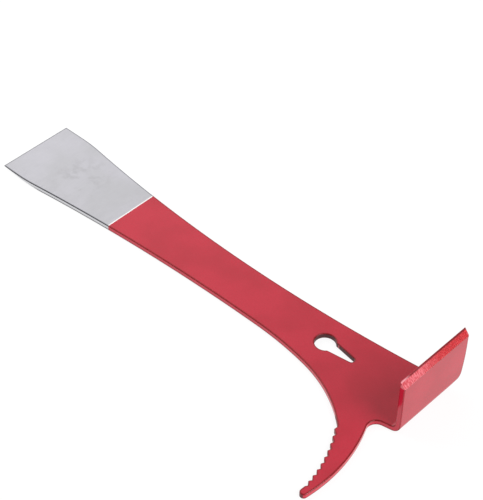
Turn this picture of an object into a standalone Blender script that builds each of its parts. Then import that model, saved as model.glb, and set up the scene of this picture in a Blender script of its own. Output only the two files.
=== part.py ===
"""Hive tool: one bent stainless steel plate, and the red coat that covers it behind the blade.

The plate carries a ground blade, a shank with a keyhole, a toothed hook on one side and a
scraper foot that is bent up square at the end.

Frame: +X runs along the tool from the blade to the foot, +Y points away from the hook and +Z
is up. The origin is on the underside, on the centre line, halfway along the tool.

Both pieces are drawn as the flat plate before it is bent. There, u is the distance from the
blade's tip, v the distance across, as Y, and w the height above the underside. fold() then
bends the foot up. Lengths are in metres and angles in degrees.
"""

from math import acos, asin, atan2, cos, degrees, pi, radians, sin, sqrt

import bmesh
import bpy
from mathutils import Vector

# Whole tool
LENGTH = 0.2714
HEIGHT = 0.0342
THICKNESS = 0.0030

# Blade
BLADE_HALF_WIDTH = 0.0226
SHOULDER_RADIUS = 0.100
GRIND_LENGTH = 0.0280
EDGE_THICKNESS = 0.0004
PAINT_LINE = 0.0752

# Shank: each side, +1 for +Y and -1 for -Y, is a long hollow arc, narrowest at its neck
NECK_U = {1: 0.1500, -1: 0.1654}
NECK_HALF_WIDTH = {1: 0.0133, -1: 0.0131}
SIDE_RADIUS = {1: 0.905, -1: 1.170}

# Keyhole: a round hole and a tapering slot that points at the foot
KEYHOLE_U = 0.2101
KEYHOLE_RADIUS = 0.0054
SLOT_END_U = 0.2266
SLOT_END_RADIUS = 0.00155
SLOT_SLOPE = 0.152

# Hook: two arcs out of the shank, a toothed inner edge, a round tip and a plain outer edge
FLARE_START_U = 0.1763
FLARE_RADIUS = 0.199
THROAT_START_U = 0.2100
THROAT_RADIUS = 0.0778
TOOTH_COUNT = 9
TOOTH_HEIGHT = 0.00125
TOOTH_TIP_SHARE = 0.34
TOOTH_PITCH_EASE = 0.14
TOOTH_ARC_CENTRE = Vector((0.1803, -0.0814))
TOOTH_ARC_RADIUS = 0.0823
TOOTH_ARC_START = 33.25
TOOTH_ARC_END = 7.05
HOOK_ARC_CENTRE = Vector((0.1794, -0.0618))
HOOK_ARC_RADIUS = 0.0867
HOOK_TIP_RADIUS = 0.00195
HOOK_TIP_ANGLE = -9.05
NOTCH_RADIUS = 0.00506
NOTCH_CENTRE_V = -0.0247

# Foot
OUTER_BEND_RADIUS = 0.0050
BEND_STEPS = 8
FOOT_LOW_V = -0.01815
FOOT_HIGH_V = 0.0289
FOOT_EASE_U = 0.2910
FOOT_EASE_RADIUS = 0.105
FOOT_CORNER_U = 0.2746
FOOT_CORNER_RADIUS = 0.0040
FOOT_FILLET_RADIUS = 0.0009
BEVEL_DEPTH = 0.0027
BEVEL_HEIGHT = 0.0035

# Coat: drawn thicker than real paint, with clearance to the steel that it would touch
COAT_THICKNESS = 0.0002
CLEARANCE = 0.0003
COAT_STEP = 0.0001

BEND_START = LENGTH - OUTER_BEND_RADIUS
BEND_MIDDLE_RADIUS = OUTER_BEND_RADIUS - THICKNESS / 2
BEND_LENGTH = BEND_MIDDLE_RADIUS * pi / 2
FLAT_LENGTH = BEND_START + BEND_LENGTH + HEIGHT - OUTER_BEND_RADIUS
BEND_STATIONS = [BEND_START + BEND_LENGTH * step / BEND_STEPS for step in range(BEND_STEPS + 1)]


def on_circle(centre, radius, angle):
    """The point of a circle at an angle."""
    turn = radians(angle)
    return Vector((centre[0] + radius * cos(turn), centre[1] + radius * sin(turn)))


def arc(centre, radius, start, end, steps):
    """Points on an arc from one angle to the other, both ends included."""
    return [on_circle(centre, radius, start + (end - start) * step / steps)
            for step in range(steps + 1)]


def angle_of(centre, point):
    """The angle of a point seen from a centre."""
    return degrees(atan2(point[1] - centre[1], point[0] - centre[0]))


def side_half_width(sign, u):
    """The shank's width from the centre line to one side, on that side's long hollow arc."""
    radius = SIDE_RADIUS[sign]
    return NECK_HALF_WIDTH[sign] + radius - sqrt(radius ** 2 - (u - NECK_U[sign]) ** 2)


def blade_side(sign, end_u, steps):
    """One side of the blade and shank, from the tip to end_u."""
    shoulder_v = BLADE_HALF_WIDTH - SHOULDER_RADIUS
    side_v = NECK_HALF_WIDTH[sign] + SIDE_RADIUS[sign]
    reach = SIDE_RADIUS[sign] + SHOULDER_RADIUS
    shoulder_u = NECK_U[sign] - sqrt(reach ** 2 - (side_v - shoulder_v) ** 2)
    turn = degrees(acos((side_v - shoulder_v) / reach))
    points = [Vector((0.0, BLADE_HALF_WIDTH))]
    points += arc((shoulder_u, shoulder_v), SHOULDER_RADIUS, 90, 90 - turn, 6)
    start_u = points.pop().x
    for step in range(steps + 1):
        u = start_u + (end_u - start_u) * step / steps
        points.append(Vector((u, side_half_width(sign, u))))
    return [Vector((point.x, sign * point.y)) for point in points]


def tooth_root(number):
    """The angle of a root: the pitch shrinks evenly from the first tooth to the last."""
    share = number / TOOTH_COUNT
    eased = share * (1 + TOOTH_PITCH_EASE * (1 - share))
    return TOOTH_ARC_START + (TOOTH_ARC_END - TOOTH_ARC_START) * eased


def hook_teeth():
    """The hook's inner edge: roots on an arc, with slanted teeth between them."""
    points = []
    for tooth in range(TOOTH_COUNT):
        root, next_root = tooth_root(tooth), tooth_root(tooth + 1)
        tip = root + (next_root - root) * TOOTH_TIP_SHARE
        points.append(on_circle(TOOTH_ARC_CENTRE, TOOTH_ARC_RADIUS, root))
        points.append(on_circle(TOOTH_ARC_CENTRE, TOOTH_ARC_RADIUS - TOOTH_HEIGHT, tip))
    return points + [on_circle(TOOTH_ARC_CENTRE, TOOTH_ARC_RADIUS, TOOTH_ARC_END)]


def flare(end):
    """The two arcs that lead from the shank's side to the hook's first tooth."""
    neck = Vector((NECK_U[-1], -NECK_HALF_WIDTH[-1] - SIDE_RADIUS[-1]))
    start = Vector((FLARE_START_U, -side_half_width(-1, FLARE_START_U)))
    first = start + (neck - start).normalized() * FLARE_RADIUS
    rise = sqrt(FLARE_RADIUS ** 2 - (THROAT_START_U - first.x) ** 2)
    turn = Vector((THROAT_START_U, first.y + rise))
    second = turn + (first - turn).normalized() * THROAT_RADIUS
    opening = arc(first, FLARE_RADIUS, angle_of(first, start), angle_of(first, turn), 6)
    throat = arc(second, THROAT_RADIUS, angle_of(second, turn), angle_of(second, end), 10)
    return opening + throat[1:]


def hook():
    """The hook, from the flare that leaves the shank to the notch beside the foot."""
    teeth = hook_teeth()
    tip_centre = on_circle(HOOK_ARC_CENTRE, HOOK_ARC_RADIUS - HOOK_TIP_RADIUS, HOOK_TIP_ANGLE)
    tip = arc(tip_centre, HOOK_TIP_RADIUS, -180, HOOK_TIP_ANGLE, 8)

    notch_reach = HOOK_ARC_RADIUS + NOTCH_RADIUS
    notch_rise = NOTCH_CENTRE_V - HOOK_ARC_CENTRE.y
    notch_run = sqrt(notch_reach ** 2 - notch_rise ** 2)
    notch_centre = HOOK_ARC_CENTRE + Vector((notch_run, notch_rise))
    meet = degrees(atan2(notch_rise, notch_run))
    outer = arc(HOOK_ARC_CENTRE, HOOK_ARC_RADIUS, HOOK_TIP_ANGLE, meet, 14)
    notch = arc(notch_centre, NOTCH_RADIUS, 180 + meet, 100, 8)

    land = Vector((tip[0].x + 0.0001, teeth[-1].y - 0.0012))
    return flare(teeth[0])[:-1] + teeth + [land] + tip + outer[1:] + notch[1:]


def foot_low_edge(start):
    """The foot's edge beside the hook: it eases out of the notch and then runs straight."""
    ease_end = Vector((BEND_STATIONS[-1] + 0.004, FOOT_LOW_V))
    points = []
    for u in BEND_STATIONS + [ease_end.x]:
        share = (ease_end.x - u) / (ease_end.x - start.x)
        points.append(Vector((u, FOOT_LOW_V + (start.y - FOOT_LOW_V) * share ** 2)))
    return points + [Vector((FLAT_LENGTH, FOOT_LOW_V))]


def foot_high_edge():
    """The foot's far edge: straight, eased in to a round lower corner, and in to the shank."""
    ease_centre = (FOOT_EASE_U, FOOT_HIGH_V - FOOT_EASE_RADIUS)
    reach = FOOT_EASE_RADIUS - FOOT_CORNER_RADIUS
    lean = 90 + degrees(asin((FOOT_EASE_U - FOOT_CORNER_U) / reach))
    ease = arc(ease_centre, FOOT_EASE_RADIUS, 90, lean, 3)
    corner = arc(on_circle(ease_centre, reach, lean), FOOT_CORNER_RADIUS, lean, 180, 6)
    corner_u = FOOT_CORNER_U - FOOT_CORNER_RADIUS
    fillet_centre = (corner_u - FOOT_FILLET_RADIUS,
                     side_half_width(1, corner_u) + FOOT_FILLET_RADIUS)
    fillet = arc(fillet_centre, FOOT_FILLET_RADIUS, 0, -90, 4)
    return [Vector((FLAT_LENGTH, FOOT_HIGH_V))] + ease + corner[1:] + fillet


def plate_outline():
    """The flat plate's outline, with the material on its left."""
    low_side = blade_side(-1, FLARE_START_U, 10)
    hooked = hook()
    high = foot_high_edge()
    high_side = blade_side(1, high[-1].x, 16)
    return low_side[:-1] + hooked + foot_low_edge(hooked[-1]) + high + high_side[-2::-1]


def keyhole_outline():
    """The keyhole's outline, with the material on its left."""
    slot_half = SLOT_END_RADIUS + SLOT_SLOPE * (SLOT_END_U - KEYHOLE_U)
    # Where the slot's side meets the circle, found by a few steps of repeated substitution
    mouth = 40.0
    for _ in range(30):
        half = slot_half - SLOT_SLOPE * KEYHOLE_RADIUS * cos(radians(mouth))
        mouth = degrees(atan2(half, sqrt(KEYHOLE_RADIUS ** 2 - half ** 2)))
    circle = arc((KEYHOLE_U, 0.0), KEYHOLE_RADIUS, 360 - mouth, mouth, 28)
    end = arc((SLOT_END_U, 0.0), SLOT_END_RADIUS, 82, -82, 8)
    return circle + end


def inset(loop, distance):
    """Moves every side of a closed loop by the same distance into the material."""
    moved = []
    for before, here, after in zip(loop[-1:] + loop[:-1], loop, loop[1:] + loop[:1]):
        arrive = (here - before).normalized()
        leave = (after - here).normalized()
        left_in = Vector((-arrive.y, arrive.x))
        left_out = Vector((-leave.y, leave.x))
        mitre = (left_in + left_out).normalized()
        moved.append(here + mitre * (distance / mitre.dot(left_out)))
    return moved


def cut(bm, point, normal):
    """Cuts away all that lies on the side of a plane that its normal points to."""
    everything = bm.verts[:] + bm.edges[:] + bm.faces[:]
    bmesh.ops.bisect_plane(bm, geom=everything, dist=1e-7, plane_co=point, plane_no=normal,
                           clear_outer=True)
    rim = [edge for edge in bm.edges if edge.is_boundary]
    bmesh.ops.triangle_fill(bm, use_beauty=True, edges=rim)


def fold(point):
    """Bends a point of the flat plate up where the foot stands, and centres the tool on X."""
    u, v, w = point
    reach = OUTER_BEND_RADIUS - w
    if u <= BEND_START:
        x, z = u, w
    elif u >= BEND_STATIONS[-1]:
        x, z = BEND_START + reach, OUTER_BEND_RADIUS + u - BEND_STATIONS[-1]
    else:
        place = (u - BEND_START) / BEND_LENGTH * BEND_STEPS
        step = min(int(place), BEND_STEPS - 1)
        share = place - step
        first = radians(90 * step / BEND_STEPS)
        second = radians(90 * (step + 1) / BEND_STEPS)
        x = BEND_START + reach * ((1 - share) * sin(first) + share * sin(second))
        z = OUTER_BEND_RADIUS - reach * ((1 - share) * cos(first) + share * cos(second))
    return Vector((x - LENGTH / 2, v, z))


def bent_plate(name, depth, first_u, last_u, ground=False):
    """The plate with every surface moved inwards by depth, kept between first_u and last_u."""
    bm = bmesh.new()
    for loop in (plate_outline(), keyhole_outline()):
        verts = [bm.verts.new((p.x, p.y, depth)) for p in inset(loop, depth)]
        for here, after in zip(verts, verts[1:] + verts[:1]):
            bm.edges.new((here, after))
    bmesh.ops.triangle_fill(bm, use_beauty=True, edges=bm.edges[:])
    bottom = bm.faces[:]
    raised = bmesh.ops.extrude_face_region(bm, geom=bottom, use_keep_orig=True)["geom"]
    for item in raised:
        if isinstance(item, bmesh.types.BMVert):
            item.co.z = THICKNESS - depth

    if first_u > 0:
        cut(bm, (first_u, 0, 0), (-1, 0, 0))
    if last_u < FLAT_LENGTH:
        cut(bm, (last_u, 0, 0), (1, 0, 0))
    else:
        slope = Vector((BEVEL_DEPTH, 0, -BEVEL_HEIGHT)).normalized()
        cut(bm, Vector((FLAT_LENGTH, 0, BEVEL_DEPTH)) - slope * depth, slope)
    if ground:
        rise = THICKNESS - EDGE_THICKNESS
        slope = Vector((-rise, 0, -GRIND_LENGTH)).normalized()
        cut(bm, (GRIND_LENGTH, 0, depth), slope)

    for u in BEND_STATIONS:
        if first_u < u < last_u:
            everything = bm.verts[:] + bm.edges[:] + bm.faces[:]
            bmesh.ops.bisect_plane(bm, geom=everything, dist=1e-7, plane_co=(u, 0, 0),
                                   plane_no=(1, 0, 0))
    for vert in bm.verts:
        vert.co = fold(vert.co)
    bmesh.ops.remove_doubles(bm, verts=bm.verts[:], dist=1e-7)
    bmesh.ops.recalc_face_normals(bm, faces=bm.faces[:])

    mesh = bpy.data.meshes.new(name)
    bm.to_mesh(mesh)
    bm.free()
    mesh.shade_smooth()
    mesh.set_sharp_from_angle(angle=radians(35))
    piece = bpy.data.objects.new(name, mesh)
    bpy.context.scene.collection.objects.link(piece)
    return piece


def combine(piece, tool, operation):
    """Adds a Boolean to a piece, and hides the body that it works with."""
    modifier = piece.modifiers.new(operation.lower(), "BOOLEAN")
    modifier.operation = operation
    modifier.solver = "EXACT"
    modifier.object = tool
    tool.hide_render = True
    tool.display_type = "WIRE"


def finish(piece, name, colour, roughness, metallic):
    """Gives a piece its own Principled material."""
    material = bpy.data.materials.new(name)
    material.use_nodes = True
    shader = material.node_tree.nodes["Principled BSDF"]
    shader.inputs["Base Color"].default_value = (*colour, 1.0)
    shader.inputs["Roughness"].default_value = roughness
    shader.inputs["Metallic"].default_value = metallic
    piece.data.materials.append(material)


def steel_body():
    """The steel plate: bare and full size at the blade, and slimmer where the coat covers it."""
    shoulder_u = PAINT_LINE - CLEARANCE
    body = bent_plate("steel_body", COAT_STEP, 0.0, shoulder_u, ground=True)
    core = bent_plate("coated_steel", COAT_THICKNESS + CLEARANCE, shoulder_u - 0.010, FLAT_LENGTH)
    combine(body, core, "UNION")
    finish(body, "stainless_steel", (0.62, 0.62, 0.65), 0.35, 1.0)


def red_coating():
    """The coat: a thin closed skin over shank, hook and foot, open where the blade comes out."""
    coat = bent_plate("red_coating", 0.0, PAINT_LINE, FLAT_LENGTH)
    pocket = bent_plate("coat_pocket", COAT_THICKNESS, PAINT_LINE - 0.002, FLAT_LENGTH)
    combine(coat, pocket, "DIFFERENCE")
    finish(coat, "red_enamel", (0.50, 0.012, 0.022), 0.25, 0.0)


for old in list(bpy.data.objects):
    bpy.data.objects.remove(old, do_unlink=True)

steel_body()
red_coating()
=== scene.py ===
"""Looks of the hive tool: a fine steel plate, its red coat, and a plain bright studio.

Both pieces are drawn as the flat plate before it is bent, as u along the tool from the blade's
tip, v across it as Y, and w as the height above the underside. fold() then bends the foot up.
Lengths are in metres and angles in degrees, unless a name says otherwise.
"""

from collections import namedtuple
from math import acos, asin, atan2, cos, degrees, hypot, pi, radians, sin, sqrt, tan

import bmesh
import bpy
import numpy as np
from mathutils import Matrix, Vector, noise


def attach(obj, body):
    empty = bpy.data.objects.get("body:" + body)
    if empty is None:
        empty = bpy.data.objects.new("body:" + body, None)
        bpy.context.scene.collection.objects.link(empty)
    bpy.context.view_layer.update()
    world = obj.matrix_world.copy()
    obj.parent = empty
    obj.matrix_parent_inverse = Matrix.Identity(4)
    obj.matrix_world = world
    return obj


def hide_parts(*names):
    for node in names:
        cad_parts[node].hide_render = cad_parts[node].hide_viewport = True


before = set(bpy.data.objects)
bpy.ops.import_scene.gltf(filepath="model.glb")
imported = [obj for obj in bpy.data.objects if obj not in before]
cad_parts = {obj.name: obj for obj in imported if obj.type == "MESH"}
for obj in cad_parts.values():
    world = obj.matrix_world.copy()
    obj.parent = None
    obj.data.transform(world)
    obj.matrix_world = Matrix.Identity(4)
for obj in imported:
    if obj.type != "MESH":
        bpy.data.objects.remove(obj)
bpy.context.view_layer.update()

# Whole tool
LENGTH = 0.2714
HEIGHT = 0.0342
THICKNESS = 0.0030

# Blade
BLADE_HALF_WIDTH = 0.0226
SHOULDER_RADIUS = 0.100
GRIND_LENGTH = 0.0280
EDGE_THICKNESS = 0.0004
PAINT_LINE = 0.0752
# A painted highlight line on the steel just before the paint line: its width and its fade
HIGHLIGHT_LINE_WIDTH = 0.0009
HIGHLIGHT_LINE_FADE = 0.0003
HANDLED_U = 0.0370

# Shank: each side, +1 for +Y and -1 for -Y, is a long hollow arc, narrowest at its neck
NECK_U = {1: 0.1500, -1: 0.1654}
NECK_HALF_WIDTH = {1: 0.0133, -1: 0.0131}
SIDE_RADIUS = {1: 0.905, -1: 1.170}

# Keyhole
KEYHOLE_U = 0.2101
KEYHOLE_RADIUS = 0.0054
SLOT_END_U = 0.2266
SLOT_END_RADIUS = 0.00155
SLOT_END_ANGLE = 82
SLOT_SLOPE = 0.152
KEYHOLE_MOUTH_RADIUS = 0.0005

# Hook
FLARE_START_U = 0.1763
FLARE_RADIUS = 0.199
THROAT_START_U = 0.2100
THROAT_RADIUS = 0.0778
TOOTH_COUNT = 9
TOOTH_HEIGHT = 0.00125
TOOTH_TIP_SHARE = 0.34
TOOTH_PITCH_EASE = 0.14
TOOTH_TIP_RADIUS = 0.0005
TOOTH_ROOT_RADIUS = 0.0003
TOOTH_ARC_CENTRE = (0.1803, -0.0814)
TOOTH_ARC_RADIUS = 0.0823
TOOTH_ARC_START = 33.25
TOOTH_ARC_END = 7.05
HOOK_ARC_CENTRE = (0.1794, -0.0618)
HOOK_ARC_RADIUS = 0.0867
HOOK_TIP_RADIUS = 0.00195
HOOK_TIP_ANGLE = -9.05
LAND_LENGTH = 0.0012
LAND_STEP = 0.0001
LAND_RADIUS = 0.0010
NOTCH_RADIUS = 0.00506
NOTCH_CENTRE_V = -0.0247
NOTCH_END_ANGLE = 100

# Foot
OUTER_BEND_RADIUS = 0.0050
BEND_STEPS = 20
FOOT_LOW_V = -0.01815
FOOT_HIGH_V = 0.0289
FOOT_LOW_EASE = 0.0040
FOOT_LOW_GAP = 0.0004
FOOT_EASE_U = 0.2910
FOOT_EASE_RADIUS = 0.105
FOOT_CORNER_U = 0.2746
FOOT_CORNER_RADIUS = 0.0040
FOOT_FILLET_RADIUS = 0.0009
BEVEL_DEPTH = 0.0027
BEVEL_HEIGHT = 0.0035
BEVEL_LOW_RADIUS = 0.0006
BEVEL_CREST_SHARES = (0.6, 0.4)
# The ground relief of the bevel: its pieces across the foot, its levels in depth, how deep it
# is, and how fine its ridges and its grit are in both directions
TOP_EDGE_PIECES = 180
BEVEL_LEVELS = 9
BEVEL_ROUGHNESS = 0.00009
RELIEF_SHARE = 0.6
RIDGE_SCALE = (1800, 120)
GRIT_SCALE = (3200, 2600)

# Layers: how far each surface lies under the coat's outer face, for the bare blade, the coat's
# inner side and the steel below it, and how round the edges are
STEEL_DEPTH = 0.0001
COAT_THICKNESS = 0.0002
CORE_DEPTH = 0.00025
STEEL_RIM_RADIUS = 0.00025
COAT_RIM_RADIUS = 0.00045
COAT_INNER_RADIUS = COAT_RIM_RADIUS * 0.4
SHARP_ANGLE = 32
# A narrow band beside each rounding, which keeps the shading of the flat faces flat
SUPPORT = 0.00004
SUPPORT_RIM = 0.9
# How far the painted shade of a rounded edge reaches over the face beside it, where a curve
# wider than TIGHT_RADIUS leaves room for it; a tighter one keeps only a small share
RIM_WIDTH = 0.00018
RIM_FADE = 0.00022
TIGHT_RADIUS = 0.0010
TIGHT_SHARE = 0.1
# How far into the plate a cross-section is drawn, which is more than its roundings take
PROFILE_REACH = 0.010
# The least differences that count: between two levels, two points, two insets and two directions
LEAST_RISE = 0.000008
MERGE_DISTANCE = 1e-7
LEAST_INSET_STEP = 1e-9
LEAST_TURN = 1e-6
# The fill's own tolerances suit millimetres
FILL_SCALE = 1000

BEND_START = LENGTH - OUTER_BEND_RADIUS
BEND_MIDDLE_RADIUS = OUTER_BEND_RADIUS - THICKNESS / 2
BEND_END = BEND_START + BEND_MIDDLE_RADIUS * pi / 2
FLAT_LENGTH = BEND_END + HEIGHT - OUTER_BEND_RADIUS

# The camera, and what it looks at
CAMERA_AZIMUTH = -47.646
CAMERA_ELEVATION = 43.568
CAMERA_ROLL = 1.354
CAMERA_AIM = Vector((0.00115, 0.0186, 0.0030))
CAMERA_DISTANCE = 0.8454
FOCAL_LENGTH_MM = 119.1

# Studio: the sky's strength follows how near a direction is to the one it is brightest in
FLOOR_SIZE = 6.0
FLOOR_GAP = 0.0002
FLOOR_GREY = (0.13, 0.13, 0.13, 1)
FLOOR_GLOW = 0.89
SKY_AIM = (165, 25)
SKY_FADE = {"From Min": 0.58, "From Max": 0.92, "To Min": 0.30, "To Max": 1.3}


# ---------------------------------------------------------------- the flat plate's outline

def on_circle(centre, radius, angle):
    """The point of a circle at an angle."""
    turn = radians(angle)
    return np.array([centre[0] + radius * cos(turn), centre[1] + radius * sin(turn)])


def arc(centre, radius, start, end, steps):
    """Points on an arc from one angle to the other, both ends included."""
    return [on_circle(centre, radius, angle) for angle in np.linspace(start, end, steps + 1)]


def angle_of(centre, point):
    """The angle of a point seen from a centre."""
    return degrees(atan2(point[1] - centre[1], point[0] - centre[0]))


def unit(vector):
    """A vector of length one in the same direction."""
    return vector / np.linalg.norm(vector)


def round_corner(before, corner, after, radius, steps=4):
    """The arc that rounds off one corner of an outline."""
    arrive, leave = unit(corner - before), unit(after - corner)
    bend = atan2(arrive[0] * leave[1] - arrive[1] * leave[0], arrive.dot(leave))
    start = corner - arrive * radius * tan(abs(bend) / 2)
    side = 1 if bend > 0 else -1
    centre = start + np.array([-arrive[1], arrive[0]]) * radius * side
    first = angle_of(centre, start)
    return arc(centre, radius, first, first + degrees(bend), steps)


def side_half_width(sign, u):
    """The shank's width from the centre line to one side, on that side's long hollow arc."""
    radius = SIDE_RADIUS[sign]
    return NECK_HALF_WIDTH[sign] + radius - sqrt(radius ** 2 - (u - NECK_U[sign]) ** 2)


def blade_side(sign, end_u):
    """One side of the blade and shank, from the tip to end_u."""
    shoulder_v = BLADE_HALF_WIDTH - SHOULDER_RADIUS
    side_v = NECK_HALF_WIDTH[sign] + SIDE_RADIUS[sign]
    reach = SIDE_RADIUS[sign] + SHOULDER_RADIUS
    shoulder_u = NECK_U[sign] - sqrt(reach ** 2 - (side_v - shoulder_v) ** 2)
    turn = degrees(acos((side_v - shoulder_v) / reach))
    points = [np.array([0.0, BLADE_HALF_WIDTH])]
    points += arc((shoulder_u, shoulder_v), SHOULDER_RADIUS, 90, 90 - turn, steps=14)
    start_u = points.pop()[0]
    for u in np.linspace(start_u, end_u, 60):
        points.append(np.array([u, side_half_width(sign, u)]))
    return [np.array([point[0], sign * point[1]]) for point in points]


def tooth_root(number):
    """The angle of a root: the pitch shrinks evenly from the first tooth to the last."""
    share = number / TOOTH_COUNT
    eased = share * (1 + TOOTH_PITCH_EASE * (1 - share))
    return TOOTH_ARC_START + (TOOTH_ARC_END - TOOTH_ARC_START) * eased


def hook_teeth():
    """The corners of the hook's inner edge, each with its rounding radius."""
    corners = []
    for tooth in range(TOOTH_COUNT):
        root, next_root = tooth_root(tooth), tooth_root(tooth + 1)
        tip = root + (next_root - root) * TOOTH_TIP_SHARE
        corners.append((on_circle(TOOTH_ARC_CENTRE, TOOTH_ARC_RADIUS, root), TOOTH_ROOT_RADIUS))
        inner = TOOTH_ARC_RADIUS - TOOTH_HEIGHT
        corners.append((on_circle(TOOTH_ARC_CENTRE, inner, tip), TOOTH_TIP_RADIUS))
    last = on_circle(TOOTH_ARC_CENTRE, TOOTH_ARC_RADIUS, TOOTH_ARC_END)
    return corners + [(last, TOOTH_ROOT_RADIUS)]


def flare(end):
    """The two arcs that lead from the shank's side to the hook's first tooth."""
    neck = np.array([NECK_U[-1], -NECK_HALF_WIDTH[-1] - SIDE_RADIUS[-1]])
    start = np.array([FLARE_START_U, -side_half_width(-1, FLARE_START_U)])
    first = start + unit(neck - start) * FLARE_RADIUS
    rise = sqrt(FLARE_RADIUS ** 2 - (THROAT_START_U - first[0]) ** 2)
    turn = np.array([THROAT_START_U, first[1] + rise])
    second = turn + unit(first - turn) * THROAT_RADIUS
    opening = arc(first, FLARE_RADIUS, angle_of(first, start), angle_of(first, turn), steps=16)
    throat = arc(second, THROAT_RADIUS, angle_of(second, turn), angle_of(second, end), steps=34)
    return opening + throat[1:]


def hook():
    """The hook, from the flare that leaves the shank to the notch beside the foot."""
    corners = hook_teeth()
    inlet = flare(corners[0][0])[:-1]
    tip_centre = on_circle(HOOK_ARC_CENTRE, HOOK_ARC_RADIUS - HOOK_TIP_RADIUS, HOOK_TIP_ANGLE)
    tip = arc(tip_centre, HOOK_TIP_RADIUS, -180, HOOK_TIP_ANGLE, steps=20)
    land = np.array([tip[0][0] + LAND_STEP, corners[-1][0][1] - LAND_LENGTH])

    edge = [(inlet[-1], 0)] + corners + [(land, LAND_RADIUS), (tip[0], 0)]
    teeth = []
    for (before, _), (corner, radius), (after, _) in zip(edge, edge[1:], edge[2:]):
        teeth += round_corner(before, corner, after, radius)

    notch_reach = HOOK_ARC_RADIUS + NOTCH_RADIUS
    notch_rise = NOTCH_CENTRE_V - HOOK_ARC_CENTRE[1]
    notch_run = sqrt(notch_reach ** 2 - notch_rise ** 2)
    notch_centre = (HOOK_ARC_CENTRE[0] + notch_run, HOOK_ARC_CENTRE[1] + notch_rise)
    meet = degrees(atan2(notch_rise, notch_run))
    outer = arc(HOOK_ARC_CENTRE, HOOK_ARC_RADIUS, HOOK_TIP_ANGLE, meet, steps=48)
    notch = arc(notch_centre, NOTCH_RADIUS, 180 + meet, NOTCH_END_ANGLE, steps=20)
    return inlet + teeth + tip + outer[1:] + notch[1:]


def foot_low_edge(start):
    """The foot's edge beside the hook: it eases out of the notch and then runs straight."""
    ease_end = BEND_END + FOOT_LOW_EASE
    points = []
    for u in np.linspace(max(BEND_START, start[0] + FOOT_LOW_GAP), ease_end, 22):
        share = (ease_end - u) / (ease_end - start[0])
        points.append(np.array([u, FOOT_LOW_V + (start[1] - FOOT_LOW_V) * share ** 2]))
    return points


def foot_high_edge():
    """The foot's far edge: straight, eased in to a round lower corner, and in to the shank."""
    ease_centre = (FOOT_EASE_U, FOOT_HIGH_V - FOOT_EASE_RADIUS)
    reach = FOOT_EASE_RADIUS - FOOT_CORNER_RADIUS
    lean = 90 + degrees(asin((FOOT_EASE_U - FOOT_CORNER_U) / reach))
    ease = arc(ease_centre, FOOT_EASE_RADIUS, 90, lean, steps=10)
    corner_centre = on_circle(ease_centre, reach, lean)
    corner = arc(corner_centre, FOOT_CORNER_RADIUS, lean, 180, steps=18)
    corner_u = FOOT_CORNER_U - FOOT_CORNER_RADIUS
    fillet_centre = (corner_u - FOOT_FILLET_RADIUS,
                     side_half_width(1, corner_u) + FOOT_FILLET_RADIUS)
    fillet = arc(fillet_centre, FOOT_FILLET_RADIUS, 0, -90, steps=8)
    return ease + corner[1:] + fillet


def plate_outline():
    """The flat plate's outline with the material on its left, and which sides are the bevel's."""
    low_side = blade_side(-1, FLARE_START_U)
    hooked = hook()
    before = low_side[:-1] + hooked + foot_low_edge(hooked[-1])
    top = [np.array([FLAT_LENGTH, v])
           for v in np.linspace(FOOT_LOW_V, FOOT_HIGH_V, TOP_EDGE_PIECES + 1)]
    high = foot_high_edge()
    after = high + blade_side(1, high[-1][0])[-2::-1]
    points = np.array(before + top + after)
    bevelled = np.zeros(len(points), bool)
    bevelled[len(before):len(before) + TOP_EDGE_PIECES] = True
    return points, bevelled


def keyhole_outline():
    """The keyhole's outline with the material on its left, and that no side is bevelled."""
    slot_half = SLOT_END_RADIUS + SLOT_SLOPE * (SLOT_END_U - KEYHOLE_U)
    # Where the slot's side meets the circle: an angle, found by repeated substitution
    mouth = 40.0
    for _ in range(30):
        half = slot_half - SLOT_SLOPE * KEYHOLE_RADIUS * cos(radians(mouth))
        mouth = degrees(atan2(half, sqrt(KEYHOLE_RADIUS ** 2 - half ** 2)))
    circle = arc((KEYHOLE_U, 0.0), KEYHOLE_RADIUS, 360 - mouth, mouth, steps=72)
    end = arc((SLOT_END_U, 0.0), SLOT_END_RADIUS, SLOT_END_ANGLE, -SLOT_END_ANGLE, steps=20)
    upper = round_corner(circle[-2], circle[-1], end[0], KEYHOLE_MOUTH_RADIUS)
    lower = round_corner(end[-1], circle[0], circle[1], KEYHOLE_MOUTH_RADIUS)
    points = np.array(circle[2:-2] + upper + end + lower)
    return points, np.zeros(len(points), bool)


# ---------------------------------------------------------------- from outline to bent plate

def inset(points, distances):
    """Moves each side of a closed outline into the material, by a distance of its own."""
    leave = np.roll(points, -1, axis=0) - points
    leave /= np.linalg.norm(leave, axis=1)[:, None]
    arrive = np.roll(leave, 1, axis=0)
    left_in = np.column_stack([-arrive[:, 1], arrive[:, 0]])
    left_out = np.column_stack([-leave[:, 1], leave[:, 0]])
    before, after = np.roll(distances, 1), distances
    straight = (left_in + left_out) / 2
    straight *= (after / (straight * left_out).sum(axis=1))[:, None]
    cross = left_in[:, 0] * left_out[:, 1] - left_in[:, 1] * left_out[:, 0]
    cross[np.abs(cross) < LEAST_TURN] = LEAST_TURN
    turned = np.column_stack([before * left_out[:, 1] - after * left_in[:, 1],
                              after * left_in[:, 0] - before * left_out[:, 0]]) / cross[:, None]
    same = (np.abs(before - after) < LEAST_INSET_STEP)[:, None]
    return points + np.where(same, straight, turned)


def rounded_profile(corners, radii, steps):
    """An edge's cross-section as offsets and heights, with its corners rounded off."""
    corners = [np.array(corner) for corner in corners]
    points = []
    for before, corner, after, radius in zip(corners, corners[1:], corners[2:], radii):
        points += round_corner(before, corner, after, radius, steps)
    return np.array(points)


def side_profile(depth, radius, steps):
    """The cross-section of the plate's ordinary edge, from the underside to the top."""
    top = THICKNESS - depth
    corners = [(PROFILE_REACH, depth), (depth, depth), (depth, top), (PROFILE_REACH, top)]
    return rounded_profile(corners, [radius, radius], steps)


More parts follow.
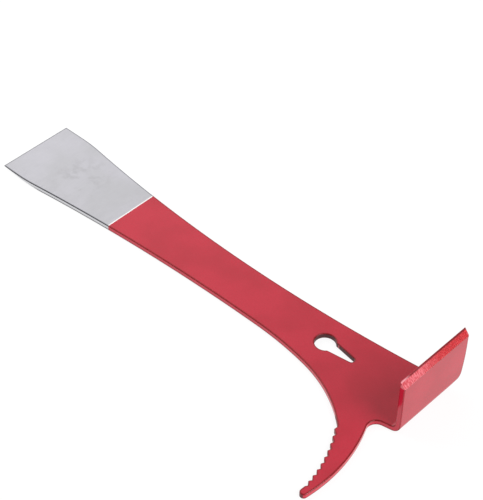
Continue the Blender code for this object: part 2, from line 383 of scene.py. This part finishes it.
def bevel_profile(depth, radius, steps):
    """The cross-section of the foot's bevelled top edge, from its outer face to its inner face."""
    slope = hypot(BEVEL_DEPTH, BEVEL_HEIGHT)
    across, along = BEVEL_DEPTH / slope, BEVEL_HEIGHT / slope
    reach = BEVEL_DEPTH * BEVEL_HEIGHT / slope + depth
    low = ((reach - along * depth) / across, depth)
    high = (depth, (reach - across * depth) / along)
    top = THICKNESS - depth
    crest = [high, (depth, top)]
    if high[1] > top:
        # This far in, the slope runs straight into the inner face
        crest = [((reach - along * top) / across, top)]
    corners = [(PROFILE_REACH, depth), low, *crest, (PROFILE_REACH, top)]
    radii = [BEVEL_LOW_RADIUS] + [radius * share for share in BEVEL_CREST_SHARES]
    return rounded_profile(corners, radii[:len(crest) + 1], steps)


def fold(u, v, w):
    """Bends a point of the flat plate up where the foot stands, and centres the tool on X."""
    reach = OUTER_BEND_RADIUS - w
    if u <= BEND_START:
        x, z = u, w
    elif u >= BEND_END:
        x, z = BEND_START + reach, OUTER_BEND_RADIUS + u - BEND_END
    else:
        turn = (u - BEND_START) / BEND_MIDDLE_RADIUS
        x, z = BEND_START + reach * sin(turn), OUTER_BEND_RADIUS - reach * cos(turn)
    return Vector((x - LENGTH / 2, v, z))


def parts_of(bm):
    """Every vertex, edge and face."""
    return bm.verts[:] + bm.edges[:] + bm.faces[:]


def slice_at(bm, point, normal, clear=False, spared=()):
    """Cuts the faces along a plane, apart from spared ones, and may clear the normal's side."""
    cut = [part for part in parts_of(bm) if part not in spared]
    bmesh.ops.bisect_plane(bm, geom=cut, dist=MERGE_DISTANCE, plane_co=point, plane_no=normal,
                           clear_outer=clear)


def grind_bevel(points, bevelled, share, height):
    """Roughens the bevel, apart from its ends: ridges that run down the slope, and some grit."""
    swell = sin(pi * share) ** 0.5
    rough = points.copy()
    for index in np.flatnonzero(bevelled)[2:-1]:
        v = points[index][1]
        ridge = noise.noise(Vector((v * RIDGE_SCALE[0], height * RIDGE_SCALE[1], 0)))
        grit = noise.noise(Vector((v * GRIT_SCALE[0], height * GRIT_SCALE[1], 5)))
        rough[index][0] -= BEVEL_ROUGHNESS * swell * (1 + RELIEF_SHARE * (ridge + grit))
    return rough


def room_to_fade(points):
    """Which corners of an outline have room for the rim's fading band: tight round tips have not."""
    leave = np.roll(points, -1, axis=0) - points
    arrive = points - np.roll(points, 1, axis=0)
    length = np.minimum(np.linalg.norm(leave, axis=1), np.linalg.norm(arrive, axis=1))
    cross = arrive[:, 0] * leave[:, 1] - arrive[:, 1] * leave[:, 0]
    turn = np.arctan2(cross, (arrive * leave).sum(axis=1))
    return length > TIGHT_RADIUS * turn


Level = namedtuple("Level", "height side bevel rim wall")


def edge_levels(depth, radius, steps, rough):
    """The plate's levels from bottom to top, and the heights that the bevel's slope passes.

    A level has the insets of the ordinary side and of the bevel at its height, and two shades
    for the materials: rim is 1 on the roundings, and wall is 1 between them and 0 at the faces.
    """
    side = side_profile(depth, radius, steps)
    bevel = bevel_profile(depth, radius, steps)
    slope = np.linspace(bevel[steps][1], bevel[steps + 1][1], BEVEL_LEVELS if rough else 2)
    rim_ends = [depth + radius + RIM_FADE, THICKNESS - depth - radius - RIM_FADE]
    heights = np.unique(np.round(np.concatenate([side[:, 1], bevel[:, 1], slope, rim_ends]), 8))
    heights = heights[np.concatenate([[True], np.diff(heights) > LEAST_RISE])]
    heights[-1] = THICKNESS - depth
    levels = []
    for height in heights:
        nearest = min(height - heights[0], heights[-1] - height)
        levels.append(Level(height, np.interp(height, side[:, 1], side[:, 0]),
                            np.interp(height, bevel[:, 1], bevel[:, 0]),
                            np.interp(nearest, [radius, radius + RIM_FADE], [1, 0]),
                            min(nearest / radius, 1.0)))
    first, last = (level._replace(side=level.side + SUPPORT, bevel=level.bevel + SUPPORT,
                                  rim=SUPPORT_RIM, wall=0.0)
                   for level in (levels[0], levels[-1]))
    return [first, *levels, last], slope


def fill(bm, edges):
    """Fills flat loops of edges with triangles."""
    bmesh.ops.scale(bm, vec=[FILL_SCALE] * 3, verts=bm.verts[:])
    bmesh.ops.triangle_fill(bm, use_beauty=True, edges=edges)
    bmesh.ops.scale(bm, vec=[1 / FILL_SCALE] * 3, verts=bm.verts[:])


def level_ring(points, bevelled, level, reach=0.0):
    """An outline at one level, moved a further reach into the plate."""
    return inset(points, np.where(bevelled, level.bevel, level.side) + reach)


def fading_rings(points, bevelled, level):
    """Two more rings on a flat face, over which the painted shade of its rounded edge ends."""
    ring = level_ring(points, bevelled, level)
    share = np.where(room_to_fade(points), 1.0, TIGHT_SHARE)[:, None]
    rings = []
    for reach, rim in ((RIM_WIDTH, 1.0), (RIM_WIDTH + RIM_FADE, 0.0)):
        moved = ring + (level_ring(points, bevelled, level, reach) - ring) * share
        rings.append((moved, level._replace(rim=rim)))
    return rings


def edge_rings(points, bevelled, levels, slope, rough, seen):
    """The rings of an outline, each with its level, from the underside over the edge to the top."""
    rings = []
    for level in levels:
        ring = level_ring(points, bevelled, level)
        share = (level.height - slope[0]) / (slope[-1] - slope[0])
        if rough and 0 < share < 1:
            ring = grind_bevel(ring, bevelled, share, level.height)
        rings.append((ring, level))
    if seen:
        under = fading_rings(points, bevelled, levels[0])
        rings = under[::-1] + rings + fading_rings(points, bevelled, levels[-1])
    return rings


def plate_shell(bm, depth, radius, steps, rough=False, seen=True):
    """Adds one closed skin of the flat plate, all of whose surfaces lie depth under the outside.

    A rough skin has the relief of the ground bevel. A skin that isn't seen needs no fading rings.
    """
    levels, slope = edge_levels(depth, radius, steps, rough)
    rim_layer = bm.verts.layers.float.get("rim") or bm.verts.layers.float.new("rim")
    wall_layer = bm.verts.layers.float.get("wall") or bm.verts.layers.float.new("wall")
    first, last = [], []
    for points, bevelled in (plate_outline(), keyhole_outline()):
        loops = []
        for ring, level in edge_rings(points, bevelled, levels, slope, rough, seen):
            loop = []
            for u, v in ring:
                vert = bm.verts.new((u, v, level.height))
                vert[rim_layer], vert[wall_layer] = level.rim, level.wall
                loop.append(vert)
            loops.append(loop)
        for lower, upper in zip(loops, loops[1:]):
            for index in range(len(lower)):
                bm.faces.new((lower[index - 1], lower[index], upper[index], upper[index - 1]))
        first.append(loops[0])
        last.append(loops[-1])
    for loops in (first, last):
        fill(bm, [bm.edges.get((loop[index - 1], loop[index]))
                  for loop in loops for index in range(len(loop))])


def open_rim(bm):
    """The vertices on the open edge that a cut has left."""
    return {vert for edge in bm.edges if edge.is_boundary for vert in edge.verts}


def turn_of(vert):
    """The angle of a vertex, seen along the tool from the middle of the plate's thickness."""
    return atan2(vert.co.z - THICKNESS / 2, vert.co.y)


def walk(ring):
    """The vertices of an open ring in the order that its edges join them, and back to the first."""
    left = set(ring)
    loop = [min(left, key=turn_of)]
    left.remove(loop[0])
    while left:
        joined = {edge.other_vert(loop[-1]) for edge in loop[-1].link_edges if edge.is_boundary}
        loop.append(min(joined & left, key=turn_of))
        left.remove(loop[-1])
    return loop + loop[:1]


def stitch(bm, outer, inner):
    """Closes the gap between two rings at the paint line with a band of triangles."""
    rings = [walk(outer), walk(inner)]
    turns = [[turn_of(vert) for vert in ring[:-1]] + [turn_of(ring[0]) + 2 * pi] for ring in rings]
    ends = [len(ring) - 1 for ring in rings]
    at = [0, 0]
    while at != ends:
        outer_next = at[0] < ends[0] and (at[1] == ends[1] or
                                          turns[0][at[0] + 1] <= turns[1][at[1] + 1])
        side = 0 if outer_next else 1
        here, following = rings[side][at[side]:at[side] + 2]
        bm.faces.new((here, following, rings[1 - side][at[1 - side]]))
        at[side] += 1


def bend(bm):
    """Cuts the flat plate where the bend needs it, and folds the foot up."""
    stations = list(np.linspace(BEND_START, BEND_END, BEND_STEPS + 1))
    for u in stations + [BEND_START - SUPPORT, BEND_END + SUPPORT]:
        slice_at(bm, (u, 0, 0), (1, 0, 0))
    for vert in bm.verts:
        vert.co = fold(*vert.co)
    bmesh.ops.remove_doubles(bm, verts=bm.verts[:], dist=MERGE_DISTANCE)
    bmesh.ops.recalc_face_normals(bm, faces=bm.faces[:])


def to_object(bm, name):
    """Makes an object of a finished mesh, shaded smooth between its sharp edges."""
    mesh = bpy.data.meshes.new(name)
    bm.to_mesh(mesh)
    bm.free()
    mesh.shade_smooth()
    mesh.set_sharp_from_angle(angle=radians(SHARP_ANGLE))
    piece = bpy.data.objects.new(name, mesh)
    bpy.context.scene.collection.objects.link(piece)
    return piece


# ---------------------------------------------------------------- materials

# Colours, linear
RED_DEEP = (0.445, 0.0085, 0.027, 1)
RED_FRESH = (0.50, 0.0115, 0.034, 1)
RED_FLECK = (0.30, 0.006, 0.012, 1)
RED_WALL_LIT = (0.68, 0.018, 0.050, 1)
RED_EDGE_SHADE = (0.25, 0.001, 0.006, 1)
RED_HOLLOW_SHADE = (0.07, 0.001, 0.003, 1)
VIVID_DARK = (0.42, 0.007, 0.012, 1)
VIVID_LIGHT = (0.72, 0.045, 0.055, 1)
CHALKY_DARK = (0.60, 0.062, 0.080, 1)
CHALKY_LIGHT = (0.84, 0.190, 0.225, 1)
CREST_HIGHLIGHT = (0.80, 0.34, 0.38, 1)
CREST_SHADE = (0.16, 0.001, 0.004, 1)
STEEL_BRIGHT = (0.58, 0.57, 0.61, 1)
STEEL_DULL = (0.54, 0.535, 0.56, 1)
STEEL_SMUDGE = (0.43, 0.425, 0.44, 1)
STEEL_LINES = (0.50, 0.50, 0.53, 1)
STEEL_HIGHLIGHT_LINE = (0.97, 0.96, 0.96, 1)
STEEL_WALL_LIT = (0.60, 0.60, 0.62, 1)
STEEL_RIM_SHADE = (0.16, 0.16, 0.18, 1)
STEEL_LOW_SHADE = (0.06, 0.06, 0.065, 1)
STEEL_TURN_SHADE = (0.010, 0.010, 0.012, 1)
WHITE = (1, 1, 1, 1)

# Where a look changes, as the two places between which it does
FOOT_EDGES_Z = (0.0035, 0.0060)
FOOT_EDGES_Y = (0.0040, -0.0080)
COAT_LOW_Z = (0.0005, 0.0013)
STEEL_LOW_Z = (0.0004, 0.0013)
BEVEL_X = (LENGTH / 2 - BEVEL_DEPTH - 0.0002, LENGTH / 2 - BEVEL_DEPTH + 0.0002)
BEVEL_Z = (HEIGHT - BEVEL_HEIGHT - 0.0005, HEIGHT - BEVEL_HEIGHT + 0.0001)
CREST_Z = (HEIGHT - 0.0009, HEIGHT - 0.0005)
CHALKY_Y = (0.0120, -0.0100)
HIGHLIGHT_CREST_Y = (-0.0165, -0.0110)
HANDLED_REACH = (0.006, 0.021)
# Round zones of painted shade on the walls, each a place on the centre line and a reach, and the
# toothed one
HOLLOW_SHADE_ZONES = ((KEYHOLE_U, KEYHOLE_RADIUS + 0.0010), (KEYHOLE_U + 0.0115, 0.0062))
TEETH_SHADE_REACH = 0.0016
TEETH_SHADE_Y = -0.030


class Nodes:
    """A short way to add nodes to a material and to join them."""

    def __init__(self, name):
        self.material = bpy.data.materials.new(name)
        self.material.use_nodes = True
        self.tree = self.material.node_tree
        self.shader = self.tree.nodes["Principled BSDF"]

    def link(self, source, target):
        """Joins an output to an input, or sets the input to a plain value."""
        if isinstance(source, bpy.types.NodeSocket):
            self.tree.links.new(source, target)
        else:
            target.default_value = source

    def add(self, kind, **settings):
        """Adds a node and sets its properties."""
        node = self.tree.nodes.new(kind)
        for key, value in settings.items():
            setattr(node, key, value)
        return node

    def coordinates(self, scale=(1, 1, 1)):
        """Object coordinates, stretched along each axis."""
        place = self.add("ShaderNodeTexCoord")
        mapping = self.add("ShaderNodeMapping")
        mapping.inputs["Scale"].default_value = scale
        self.link(place.outputs["Object"], mapping.inputs["Vector"])
        return mapping.outputs["Vector"]

    def axes(self, vector):
        """The X, Y and Z of a vector."""
        node = self.add("ShaderNodeSeparateXYZ")
        self.link(vector, node.inputs[0])
        return [node.outputs[name] for name in "XYZ"]

    def attribute(self, name):
        """A shade that the mesh holds at its vertices."""
        return self.add("ShaderNodeAttribute", attribute_name=name).outputs["Fac"]

    def noise(self, vector, scale, detail, roughness=0.5):
        """Smooth noise, from 0 to 1."""
        node = self.add("ShaderNodeTexNoise")
        self.link(vector, node.inputs["Vector"])
        node.inputs["Scale"].default_value = scale
        node.inputs["Detail"].default_value = detail
        node.inputs["Roughness"].default_value = roughness
        return node.outputs["Fac"]

    def math(self, operation, first, second=0.0):
        """One step of arithmetic."""
        node = self.add("ShaderNodeMath", operation=operation)
        self.link(first, node.inputs[0])
        self.link(second, node.inputs[1])
        return node.outputs[0]

    def times(self, value, *factors):
        """A value multiplied by each factor in turn."""
        for factor in factors:
            value = self.math("MULTIPLY", value, factor)
        return value

    def distance(self, vector, point):
        """How far a point of the surface lies from an upright axis."""
        level = self.add("ShaderNodeVectorMath", operation="MULTIPLY")
        self.link(vector, level.inputs[0])
        level.inputs[1].default_value = (1, 1, 0)
        node = self.add("ShaderNodeVectorMath", operation="DISTANCE")
        self.link(level.outputs["Vector"], node.inputs[0])
        node.inputs[1].default_value = (*point, 0)
        return node.outputs["Value"]

    def span(self, value, low, high, start=0.0, end=1.0):
        """Carries a value smoothly from one range into another, and holds it there."""
        node = self.add("ShaderNodeMapRange", interpolation_type="SMOOTHSTEP")
        self.link(value, node.inputs["Value"])
        ends = {"From Min": low, "From Max": high, "To Min": start, "To Max": end}
        for key, number in ends.items():
            node.inputs[key].default_value = number
        return node.outputs["Result"]

    def mix(self, share, first, second):
        """Blends two colours."""
        node = self.add("ShaderNodeMix", data_type="RGBA")
        self.link(share, node.inputs["Factor"])
        self.link(first, node.inputs["A"])
        self.link(second, node.inputs["B"])
        return node.outputs["Result"]

    def bump(self, height, distance, strength, normal=None):
        """A bumpy normal from a height."""
        node = self.add("ShaderNodeBump")
        node.inputs["Strength"].default_value = strength
        node.inputs["Distance"].default_value = distance
        self.link(height, node.inputs["Height"])
        if normal is not None:
            self.link(normal, node.inputs["Normal"])
        return node.outputs["Normal"]


def coat_paint(n, place, y, z, rim, wall):
    """The coat's colour: soft clouds and flecks, with painted light: walls painted lighter, painted
    shade on the rounded edges and along the walls' low edge.
    """
    paint = n.mix(n.span(n.noise(place, 45.0, 2.0), 0.35, 0.65), RED_DEEP, RED_FRESH)
    paint = n.mix(n.span(n.noise(place, 1400.0, 2.0), 0.35, 0.75, 0.0, 0.22), paint, RED_FLECK)
    # Painted light: the walls are painted a lighter red than the faces
    paint = n.mix(n.times(n.math("SUBTRACT", wall, rim), 0.7), paint, RED_WALL_LIT)
    # Painted shade on the rounded edges, in patches: the foot's edges beside the hook are left
    # light, walls get less of it than faces
    patchy_shade = n.span(n.noise(place, 320.0, 3.0), 0.30, 0.62, 0.75, 1.0)
    bright = n.times(n.span(z, *FOOT_EDGES_Z, 0.0, 0.85), n.span(y, *FOOT_EDGES_Y))
    darker = n.times(n.math("SUBTRACT", 1.0, bright), n.span(wall, 0.5, 1.0, 1.0, 0.55))
    paint = n.mix(n.times(rim, patchy_shade, darker), paint, RED_EDGE_SHADE)
    # Painted shade along the walls' low edge, next to the floor
    return n.mix(n.times(n.span(z, *COAT_LOW_Z, 0.85, 0.0), wall), paint, RED_EDGE_SHADE)


def shaded_hollows(n, place, y, wall):
    """Painted shade on the walls of the keyhole and of the toothed edge."""
    holes = [n.math("LESS_THAN", n.distance(place, (u - LENGTH / 2, 0)), reach)
             for u, reach in HOLLOW_SHADE_ZONES]
    arc_centre = (TOOTH_ARC_CENTRE[0] - LENGTH / 2, TOOTH_ARC_CENTRE[1])
    from_arc = n.math("SUBTRACT", n.distance(place, arc_centre), TOOTH_ARC_RADIUS)
    teeth = n.times(n.math("LESS_THAN", n.math("ABSOLUTE", from_arc), TEETH_SHADE_REACH),
                    n.math("LESS_THAN", y, TEETH_SHADE_Y))
    hollow_shade = n.math("MAXIMUM", n.math("MAXIMUM", *holes), n.times(teeth, 0.8))
    return n.times(hollow_shade, wall)


def bevel_paint(n, place, y, z):
    """The bevel's colour: vivid and speckled, but chalky and streaked near the hook, with a painted
    highlight along the crest near the hook and painted shade along the rest of it.
    """
    speckle = n.span(n.noise(place, 2400.0, 2.0), 0.42, 0.60)
    streaks = n.span(n.noise(n.coordinates((0.25, 1.0, 0.25)), 2100.0, 2.0), 0.40, 0.60)
    vivid = n.mix(speckle, VIVID_DARK, VIVID_LIGHT)
    chalky = n.mix(streaks, CHALKY_DARK, CHALKY_LIGHT)
    ground = n.mix(n.span(y, *CHALKY_Y), vivid, chalky)
    # Painted light along the crest: a highlight near the hook, shade further on
    crest = n.mix(n.span(y, *HIGHLIGHT_CREST_Y), CREST_HIGHLIGHT, CREST_SHADE)
    return n.mix(n.span(z, *CREST_Z, 0.0, 0.9), ground, crest)


def red_enamel():
    """Semi-gloss red powder coat with a soft orange peel, gritty on the bevel, with painted shade
    and more roughness on the walls of the keyhole and the teeth.
    """
    n = Nodes("red_enamel")
    place = n.coordinates()
    x, y, z = n.axes(place)
    rim, wall = n.attribute("rim"), n.attribute("wall")
    hollow_shade = shaded_hollows(n, place, y, wall)
    on_bevel = n.times(n.span(z, *BEVEL_Z), n.span(x, *BEVEL_X))

    # Painted shade on the walls of the keyhole and of the teeth
    paint = n.mix(hollow_shade, coat_paint(n, place, y, z, rim, wall), RED_HOLLOW_SHADE)
    paint = n.mix(on_bevel, paint, bevel_paint(n, place, y, z))
    n.link(paint, n.shader.inputs["Base Color"])

    gloss = n.span(n.noise(place, 260.0, 3.0), 0.3, 0.7, 0.11, 0.16)
    gloss = n.math("ADD", gloss, n.times(on_bevel, 0.10))
    gloss = n.math("ADD", gloss, n.times(hollow_shade, 0.40))
    n.link(gloss, n.shader.inputs["Roughness"])

    peel = n.bump(n.noise(place, 520.0, 2.0, 0.4), 0.00002, 0.6)
    grit = n.bump(n.times(n.noise(place, 2600.0, 2.0), on_bevel), 0.00006, 0.8, peel)
    n.link(grit, n.shader.inputs["Normal"])
    n.shader.inputs["Metallic"].default_value = 0.0
    n.shader.inputs["IOR"].default_value = 1.46
    return n.material


def stainless_steel():
    """Satin stainless steel: grinding lines across the blade, a smudge, a painted highlight line
    beside the paint line, and painted light on the walls and edges.
    """
    n = Nodes("stainless_steel")
    place = n.coordinates()
    x, _, z = n.axes(place)
    rim, wall = n.attribute("rim"), n.attribute("wall")

    lines = n.noise(n.coordinates((1.0, 0.03, 1.0)), 4200.0, 2.0)
    smudge = n.span(n.noise(place, 170.0, 4.0, 0.65), 0.42, 0.66)
    handled = n.span(n.distance(place, (HANDLED_U - LENGTH / 2, 0)), *HANDLED_REACH, 0.55, 0.08)
    steel = n.mix(n.span(n.noise(place, 32.0, 2.0), 0.35, 0.65), STEEL_BRIGHT, STEEL_DULL)
    steel = n.mix(n.times(smudge, handled), steel, STEEL_SMUDGE)
    steel = n.mix(n.span(lines, 0.3, 0.7, 0.0, 0.10), steel, STEEL_LINES)
    # A painted highlight: a near-white line on the steel just before the paint line
    highlight_line_x = PAINT_LINE - HIGHLIGHT_LINE_WIDTH - LENGTH / 2
    steel = n.mix(n.span(x, highlight_line_x, highlight_line_x + HIGHLIGHT_LINE_FADE), steel, STEEL_HIGHLIGHT_LINE)
    # Painted light on the walls: they are painted lighter, with painted shade on the roundings, more
    # of it along the low edge, and near black painted shade where they turn into both faces
    steel = n.mix(wall, steel, STEEL_WALL_LIT)
    steel = n.mix(n.times(rim, 0.85), steel, STEEL_RIM_SHADE)
    steel = n.mix(n.times(n.span(z, *STEEL_LOW_Z, 0.9, 0.0), wall), steel, STEEL_LOW_SHADE)
    steel = n.mix(n.times(n.span(rim, 0.0, 0.35), n.span(wall, 0.02, 0.4)), steel, STEEL_TURN_SHADE)
    n.link(steel, n.shader.inputs["Base Color"])

    gloss = n.span(lines, 0.3, 0.7, 0.34, 0.42)
    n.link(gloss, n.shader.inputs["Roughness"])
    n.link(n.bump(lines, 0.000004, 0.5), n.shader.inputs["Normal"])
    n.shader.inputs["Metallic"].default_value = 1.0
    return n.material


# ---------------------------------------------------------------- pieces

def steel_plate():
    """The steel plate: ground to a wedge at the blade, and slimmer where the coat covers it."""
    bm = bmesh.new()
    plate_shell(bm, STEEL_DEPTH, STEEL_RIM_RADIUS, steps=3)
    slice_at(bm, (PAINT_LINE, 0, 0), (1, 0, 0), clear=True)
    blade_end, blade = open_rim(bm), set(parts_of(bm))
    plate_shell(bm, CORE_DEPTH, STEEL_RIM_RADIUS, steps=2, seen=False)
    slice_at(bm, (PAINT_LINE, 0, 0), (-1, 0, 0), clear=True, spared=blade)
    stitch(bm, blade_end, open_rim(bm) - blade_end)
    rise = THICKNESS - EDGE_THICKNESS
    wedge = Vector((-rise, 0, -GRIND_LENGTH)).normalized()
    slice_at(bm, (GRIND_LENGTH, 0, STEEL_DEPTH), wedge, clear=True)
    fill(bm, [edge for edge in bm.edges if edge.is_boundary])
    bend(bm)
    piece = to_object(bm, "steel_plate")
    piece.data.materials.append(stainless_steel())
    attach(piece, "root")
    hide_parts("steel_body")


def coat_skin():
    """The red coat: a slim closed skin, which ends in a step at the paint line."""
    bm = bmesh.new()
    plate_shell(bm, 0.0, COAT_RIM_RADIUS, steps=5, rough=True)
    slice_at(bm, (PAINT_LINE, 0, 0), (-1, 0, 0), clear=True)
    outer = open_rim(bm)
    plate_shell(bm, COAT_THICKNESS, COAT_INNER_RADIUS, steps=2, seen=False)
    slice_at(bm, (PAINT_LINE, 0, 0), (-1, 0, 0), clear=True)
    stitch(bm, outer, open_rim(bm) - outer)
    bend(bm)
    piece = to_object(bm, "enamel_coat")
    piece.data.materials.append(red_enamel())
    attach(piece, "root")
    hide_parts("red_coating")


# ---------------------------------------------------------------- studio

def direction(azimuth, elevation):
    """The unit vector that points to an azimuth and elevation."""
    turn, rise = radians(azimuth), radians(elevation)
    return Vector((cos(rise) * cos(turn), cos(rise) * sin(turn), sin(rise)))


def camera():
    """The camera, at the three-quarter view from above the hook's side of the foot."""
    back = direction(CAMERA_AZIMUTH, CAMERA_ELEVATION)
    level = Vector((0, 0, 1)).cross(back).normalized()
    rise = back.cross(level)
    turn = radians(CAMERA_ROLL)
    side = level * cos(turn) + rise * sin(turn)
    up = rise * cos(turn) - level * sin(turn)
    data = bpy.data.cameras.new("camera")
    data.sensor_width = 36.0
    data.lens = FOCAL_LENGTH_MM
    data.clip_start = 0.01
    data.clip_end = 20.0
    rig = bpy.data.objects.new("camera", data)
    bpy.context.scene.collection.objects.link(rig)
    place = CAMERA_AIM + back * CAMERA_DISTANCE
    rig.matrix_world = Matrix.Translation(place) @ Matrix((side, up, back)).transposed().to_4x4()
    bpy.context.scene.camera = rig


def soft_light(name, azimuth, elevation, distance, size, watts, reflected=True):
    """A soft box, of a width and a height, that faces the tool, and may be left out of gloss."""
    data = bpy.data.lights.new(name, "AREA")
    data.shape = "RECTANGLE"
    data.size, data.size_y = size
    data.energy = watts
    box = bpy.data.objects.new(name, data)
    bpy.context.scene.collection.objects.link(box)
    toward = direction(azimuth, elevation)
    box.location = toward * distance
    box.rotation_euler = toward.to_track_quat("Z", "Y").to_euler()
    box.visible_glossy = reflected


def pale_floor():
    """A pale matt floor, which glows so that it looks plain white."""
    bpy.ops.mesh.primitive_plane_add(size=FLOOR_SIZE, location=(0, 0, -FLOOR_GAP))
    floor = bpy.context.object
    floor.name = "floor"
    n = Nodes("floor")
    looks = {"Base Color": FLOOR_GREY, "Roughness": 0.9, "Specular IOR Level": 0.0,
             "Emission Color": WHITE, "Emission Strength": FLOOR_GLOW}
    for key, value in looks.items():
        n.shader.inputs[key].default_value = value
    floor.data.materials.append(n.material)


def sky():
    """A white sky, bright behind the tool and dimmer all round."""
    world = bpy.data.worlds.new("studio")
    bpy.context.scene.world = world
    world.use_nodes = True
    tree = world.node_tree
    place = tree.nodes.new("ShaderNodeTexCoord")
    dot = tree.nodes.new("ShaderNodeVectorMath")
    dot.operation = "DOT_PRODUCT"
    dot.inputs[1].default_value = direction(*SKY_AIM)
    tree.links.new(place.outputs["Generated"], dot.inputs[0])
    fade = tree.nodes.new("ShaderNodeMapRange")
    fade.interpolation_type = "SMOOTHSTEP"
    tree.links.new(dot.outputs["Value"], fade.inputs["Value"])
    for key, number in SKY_FADE.items():
        fade.inputs[key].default_value = number
    tree.links.new(fade.outputs["Result"], tree.nodes["Background"].inputs["Strength"])
    tree.nodes["Background"].inputs["Color"].default_value = WHITE


def studio():
    """The floor, the sky, a key light and a small fill light that no gloss shows."""
    pale_floor()
    sky()
    soft_light("key", azimuth=10, elevation=39, distance=2.5, size=(1.8, 2.3), watts=53)
    soft_light("fill", azimuth=200, elevation=38, distance=0.5, size=(0.35, 0.25), watts=1.0,
               reflected=False)
    bpy.context.scene.view_settings.view_transform = "Standard"


camera()
studio()
steel_plate()
coat_skin()
